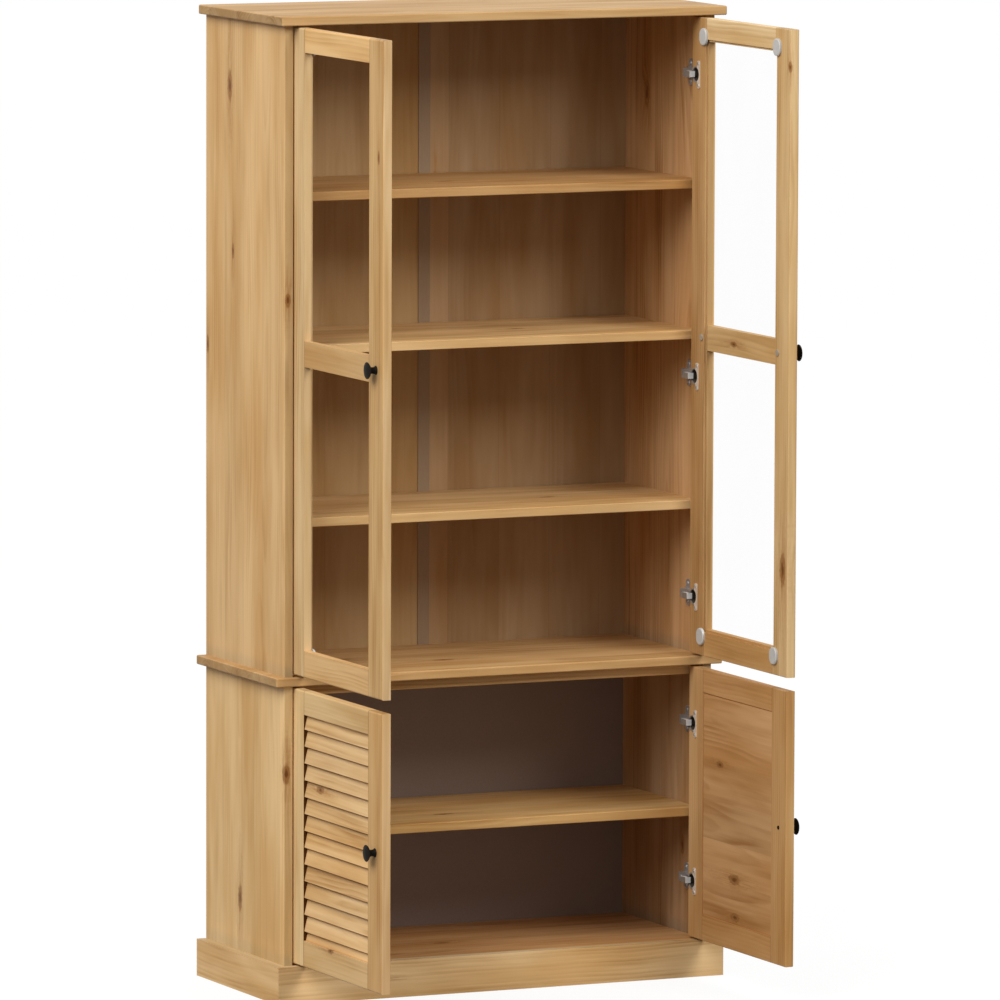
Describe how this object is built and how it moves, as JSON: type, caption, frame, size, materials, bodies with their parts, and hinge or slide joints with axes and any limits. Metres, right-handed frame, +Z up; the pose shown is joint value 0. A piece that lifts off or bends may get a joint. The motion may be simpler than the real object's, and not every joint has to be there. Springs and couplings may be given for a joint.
{
  "type": "pantry cabinet",
  "caption": "Tall free-standing pine cabinet with glazed doors over louvred doors, all on concealed hinges, with shelves inside both sections.",
  "frame": {"origin": "on the floor, under the middle of the front plinth board", "axes": "+X to the right seen from the front, +Y to the back, +Z up"},
  "size_m": [0.848, 0.7156, 1.7],
  "materials": {
    "pine": "honey wax over pale knotty pine",
    "hardboard": "plain dark brown",
    "grey_strip": "plain grey",
    "glass": "clear",
    "nickel": "bright nickel plate",
    "black_knob": "black satin",
    "clear_clip": "milky white"
  },
  "bodies": {
    "carcass": {"top_board": "pine", "waist_board": "pine", "upper_side_left": "pine", "upper_side_right": "pine", "lower_side_left": "pine", "lower_side_right": "pine", "upper_shelf_1": "pine", "upper_shelf_2": "pine", "upper_shelf_3": "pine", "lower_shelf": "pine", "floor_board": "pine", "apron_rail": "pine", "plinth_front": "pine", "plinth_left": "pine", "plinth_right": "pine", "plinth_rear": "pine", "upper_back_left": "pine", "upper_back_right": "pine", "back_joint_strip": "grey_strip", "lower_back": "hardboard", "frame_dowels": "pine", "hinge_arms": "nickel", "hinge_plates": "nickel"},
    "upper_left_door": {"upper_left_hinge_stile": "pine", "upper_left_free_stile": "pine", "upper_left_top_rail": "pine", "upper_left_bottom_rail": "pine", "upper_left_knob": "black_knob", "upper_left_hinge_cups": "nickel", "upper_left_mid_rail": "pine", "upper_left_glass": "glass", "upper_left_glass_clips": "clear_clip"},
    "upper_right_door": {"upper_right_hinge_stile": "pine", "upper_right_free_stile": "pine", "upper_right_top_rail": "pine", "upper_right_bottom_rail": "pine", "upper_right_knob": "black_knob", "upper_right_hinge_cups": "nickel", "upper_right_mid_rail": "pine", "upper_right_glass": "glass", "upper_right_glass_clips": "clear_clip"},
    "lower_left_door": {"lower_left_hinge_stile": "pine", "lower_left_free_stile": "pine", "lower_left_top_rail": "pine", "lower_left_bottom_rail": "pine", "lower_left_knob": "black_knob", "lower_left_hinge_cups": "nickel", "lower_left_louvre_panel": "pine"},
    "lower_right_door": {"lower_right_hinge_stile": "pine", "lower_right_free_stile": "pine", "lower_right_top_rail": "pine", "lower_right_bottom_rail": "pine", "lower_right_knob": "black_knob", "lower_right_hinge_cups": "nickel", "lower_right_louvre_panel": "pine"}
  },
  "joints": [
    {"name": "upper_left_hinges", "type": "hinge", "parent": "carcass", "child": "upper_left_door", "pos_m": [-0.3803, 0.0162, 1.125], "axis": [0, 0, 1], "range_deg": [-5, 90]},
    {"name": "upper_right_hinges", "type": "hinge", "parent": "carcass", "child": "upper_right_door", "pos_m": [0.3803, 0.0162, 1.125], "axis": [0, 0, -1], "range_deg": [-5, 90]},
    {"name": "lower_left_hinges", "type": "hinge", "parent": "carcass", "child": "lower_left_door", "pos_m": [-0.3803, 0.0162, 0.307], "axis": [0, 0, 1], "range_deg": [-5, 90]},
    {"name": "lower_right_hinges", "type": "hinge", "parent": "carcass", "child": "lower_right_door", "pos_m": [0.3803, 0.0162, 0.307], "axis": [0, 0, -1], "range_deg": [-5, 90]}
  ]
}
